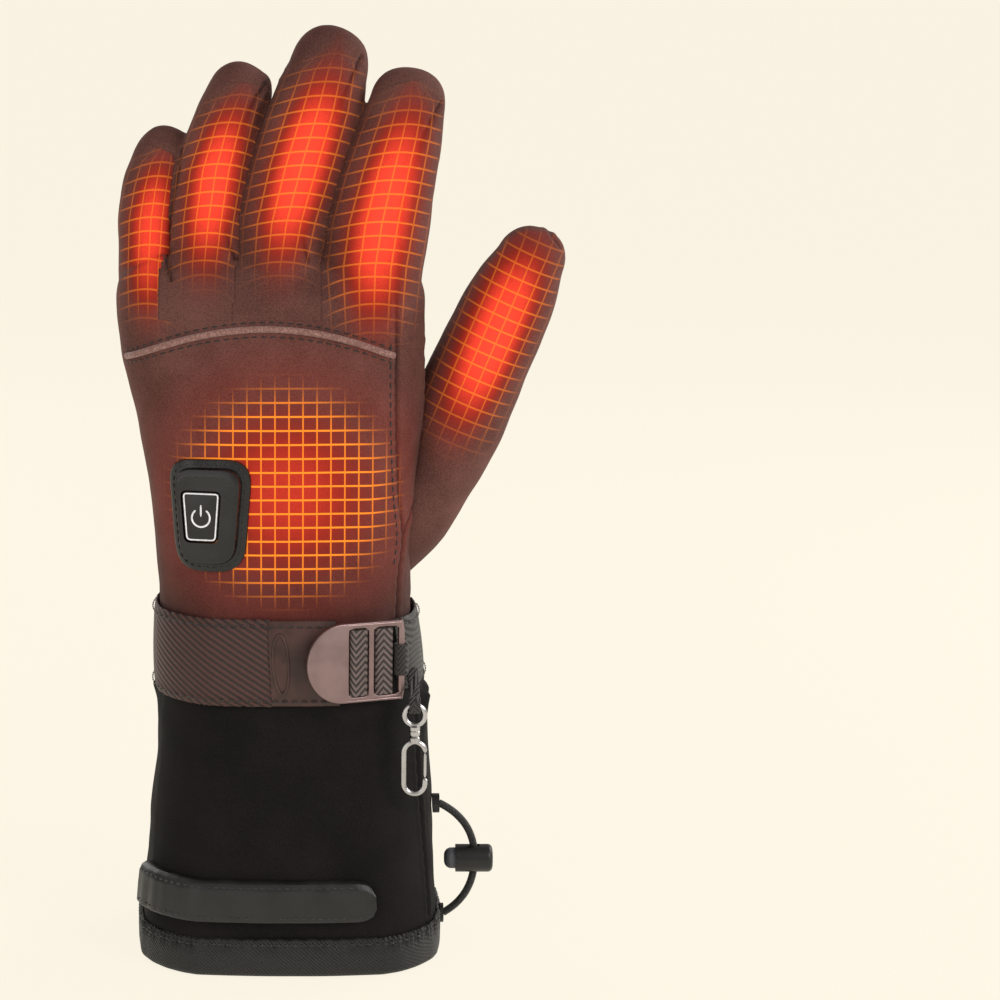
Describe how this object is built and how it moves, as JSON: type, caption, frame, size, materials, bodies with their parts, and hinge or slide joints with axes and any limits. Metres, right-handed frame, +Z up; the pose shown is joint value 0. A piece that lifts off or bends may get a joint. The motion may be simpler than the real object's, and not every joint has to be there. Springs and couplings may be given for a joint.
{
  "type": "ski glove",
  "caption": "Padded battery-heated ski glove for the left hand, with a gauntlet cuff, wrist strap, push-key control, pairing hook and hem drawcord.",
  "frame": {"origin": "centre of the cuff's mouth, in the plane of the hem that the glove stands on", "axes": "+Z up the glove towards the fingertips, +X towards the thumb, -Y out of the back of the hand"},
  "size_m": [0.1451, 0.083, 0.3002],
  "materials": {
    "shell_fabric": "matte woven softshell",
    "cuff_fabric": "matte woven",
    "binding": "matte tape",
    "fleece_lining": "brushed fleece",
    "heater_film": "satin film",
    "synthetic_leather": "grained, slight gloss",
    "grip_patch": "ribbed, matte",
    "light_piping": "retro-reflective satin",
    "webbing": "ribbed weave",
    "buckle_metal": "satin",
    "hook_metal": "polished",
    "zip_metal": "satin",
    "push_key": "gloss",
    "black_plastic": "matte",
    "grey_plastic": "satin",
    "circuit_board": "satin",
    "cord": "braided"
  },
  "bodies": {
    "cuff": {"cuff_shell": "cuff_fabric", "cuff_lining": "fleece_lining", "hem_binding": "binding", "pocket_flap": "synthetic_leather", "pocket_zip_tape": "webbing", "battery_pouch": "synthetic_leather", "battery_pack": "black_plastic", "battery_lead": "black_plastic", "wrist_sleeve": "cuff_fabric", "wrist_band": "webbing", "strap_tab": "synthetic_leather", "anchor_strap": "webbing", "hook_loop": "webbing", "wrist_elastic": "webbing", "drawcord": "cord", "cord_eyelets": "grey_plastic"},
    "hand": {"knuckle_yoke": "shell_fabric", "back_panel": "shell_fabric", "index_side_panel": "shell_fabric", "palm_panel": "shell_fabric", "thumb_gusset": "shell_fabric", "hand_lining": "fleece_lining", "hand_heater": "heater_film", "palm_patch": "grip_patch", "piping": "light_piping", "control_patch": "synthetic_leather", "control_pad": "synthetic_leather", "control_housing": "black_plastic", "control_board": "circuit_board", "tact_switch": "black_plastic", "little_knuckle_sleeve": "shell_fabric", "ring_knuckle_sleeve": "shell_fabric", "middle_knuckle_sleeve": "shell_fabric", "index_knuckle_sleeve": "shell_fabric", "thumb_knuckle_sleeve": "shell_fabric"},
    "power_button": {"power_button": "push_key"},
    "buckle": {"buckle_frame": "buckle_metal", "strap_fold": "webbing"},
    "ring_swivel": {"swivel_ring": "hook_metal"},
    "hook": {"snap_hook": "hook_metal"},
    "gate": {"hook_gate": "hook_metal"},
    "zip": {"zip_slider": "zip_metal"},
    "cord_lock": {"lock_body": "black_plastic", "lock_spring": "hook_metal"},
    "lock_button": {"lock_button": "grey_plastic"},
    "little": {"little_shell": "shell_fabric", "little_lining": "fleece_lining", "little_heater": "heater_film"},
    "ring": {"ring_shell": "shell_fabric", "ring_lining": "fleece_lining", "ring_heater": "heater_film"},
    "middle": {"middle_shell": "shell_fabric", "middle_lining": "fleece_lining", "middle_heater": "heater_film"},
    "index": {"index_shell": "shell_fabric", "index_lining": "fleece_lining", "index_heater": "heater_film"},
    "thumb": {"thumb_shell": "shell_fabric", "thumb_lining": "fleece_lining", "thumb_heater": "heater_film"}
  },
  "joints": [
    {"name": "wrist_flex", "type": "hinge", "parent": "cuff", "child": "hand", "pos_m": [-0.0012, 0, 0.1185], "axis": [-1, 0, 0], "range_deg": [-15, 20], "deforming": ["wrist_sleeve", "battery_lead"]},
    {"name": "little_flex", "type": "hinge", "parent": "hand", "child": "little", "pos_m": [-0.0463, 0.004, 0.218], "axis": [-0.9909, 0, 0.1349], "range_deg": [0, 55], "deforming": ["little_knuckle_sleeve"]},
    {"name": "ring_flex", "type": "hinge", "parent": "hand", "child": "ring", "pos_m": [-0.0242, -0.001, 0.218], "axis": [-0.9866, 0, 0.1634], "range_deg": [0, 55], "deforming": ["ring_knuckle_sleeve"]},
    {"name": "middle_flex", "type": "hinge", "parent": "hand", "child": "middle", "pos_m": [0.0004, -0.0035, 0.218], "axis": [-0.9835, 0, 0.1808], "range_deg": [0, 55], "deforming": ["middle_knuckle_sleeve"]},
    {"name": "index_flex", "type": "hinge", "parent": "hand", "child": "index", "pos_m": [0.0279, -0.0045, 0.218], "axis": [-0.9881, 0, 0.154], "range_deg": [0, 55], "deforming": ["index_knuckle_sleeve"]},
    {"name": "thumb_flex", "type": "hinge", "parent": "hand", "child": "thumb", "pos_m": [0.05653, 0.00697, 0.17943], "axis": [-0.92, 0, 0.3918], "range_deg": [0, 45], "deforming": ["thumb_knuckle_sleeve"]},
    {"name": "power_button_press", "type": "slide", "parent": "hand", "child": "power_button", "axis": [0.2079, 0.9781, 0], "range_m": [0, 0.0008], "stiffness_N_per_m": 800},
    {"name": "buckle_tilt", "type": "hinge", "parent": "cuff", "child": "buckle", "pos_m": [0.03562, -0.02974, 0.103], "axis": [0, 0, 1], "range_deg": [0, 35]},
    {"name": "ring_swing", "type": "hinge", "parent": "cuff", "child": "ring_swivel", "pos_m": [0.0398, -0.036, 0.0895], "axis": [-1, 0, 0], "range_deg": [-4, 70]},
    {"name": "hook_swivel", "type": "hinge", "parent": "ring_swivel", "child": "hook", "pos_m": [0.0398, -0.036, 0.07935], "axis": [0, 0, 1], "continuous": true},
    {"name": "gate_open", "type": "hinge", "parent": "hook", "child": "gate", "pos_m": [0.0432, -0.036, 0.07375], "axis": [0, 1, 0], "range_deg": [0, 22], "stiffness_Nm_per_rad": 0.003, "springref_deg": -8.59},
    {"name": "zip_slide", "type": "slide", "parent": "cuff", "child": "zip", "axis": [-1, 0, 0], "range_m": [0, 0.027]},
    {"name": "lock_slide", "type": "slide", "parent": "cuff", "child": "cord_lock", "axis": [0, 0, 1], "range_m": [-0.0016, 0.0016]},
    {"name": "lock_press", "type": "slide", "parent": "cord_lock", "child": "lock_button", "axis": [1, 0, 0], "range_m": [0, 0.002], "stiffness_N_per_m": 250, "deforming": ["lock_spring"]}
  ]
}
